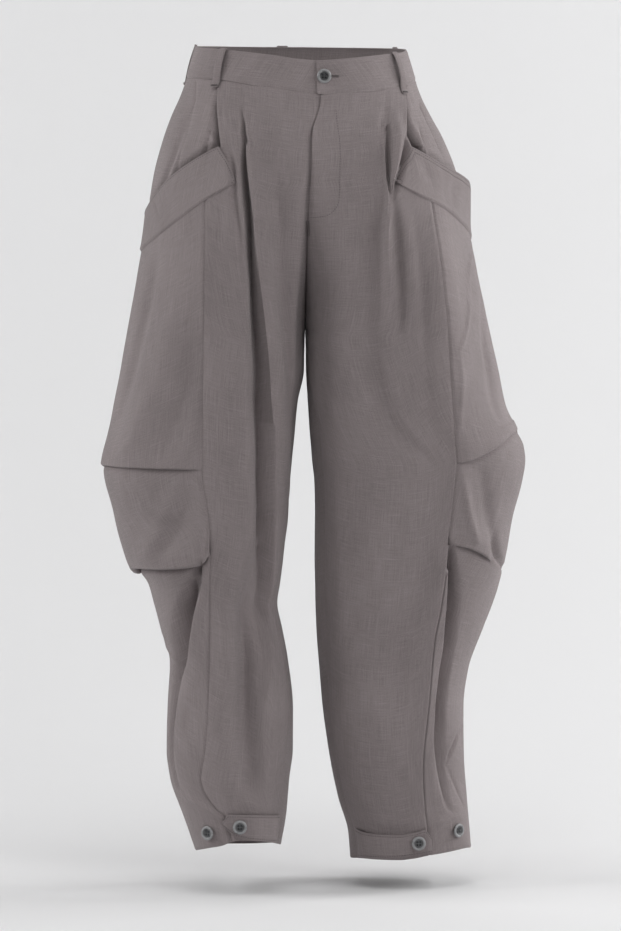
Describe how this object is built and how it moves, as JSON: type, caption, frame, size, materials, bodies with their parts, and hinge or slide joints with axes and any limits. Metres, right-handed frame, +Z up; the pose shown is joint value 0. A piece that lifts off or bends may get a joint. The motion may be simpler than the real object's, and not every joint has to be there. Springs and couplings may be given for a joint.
{
  "type": "balloon trousers",
  "caption": "Hollow pleated balloon trousers, as worn: slanted pocket bands, side panels with knee tucks, and hem tabs that button across the ankles.",
  "frame": {"origin": "middle of the waistband ring, where the wearer's waist holds it up", "axes": "+Z up towards the waist, -Y to the front of the trousers, +X to the wearer's left"},
  "size_m": [0.5316, 0.2525, 1.0215],
  "materials": {
    "cloth": "matt slubbed linen-look weave, warm taupe grey",
    "button": "satin grey button with a darker sunk middle"
  },
  "bodies": {
    "root": {"front_right": "cloth", "front_left": "cloth", "hip_right": "cloth", "hip_left": "cloth", "pocket_band_right": "cloth", "pocket_band_left": "cloth", "side_right": "cloth", "side_left": "cloth", "back_right": "cloth", "back_left": "cloth", "tab_right": "cloth", "tab_left": "cloth", "waistband": "cloth", "belt_loop_1": "cloth", "belt_loop_2": "cloth", "belt_loop_3": "cloth", "belt_loop_4": "cloth", "belt_loop_5": "cloth", "button_waist": "button", "button_hem_right_1": "button", "button_hem_right_2": "button", "button_hem_left_1": "button", "button_hem_left_2": "button"}
  },
  "joints": []
}
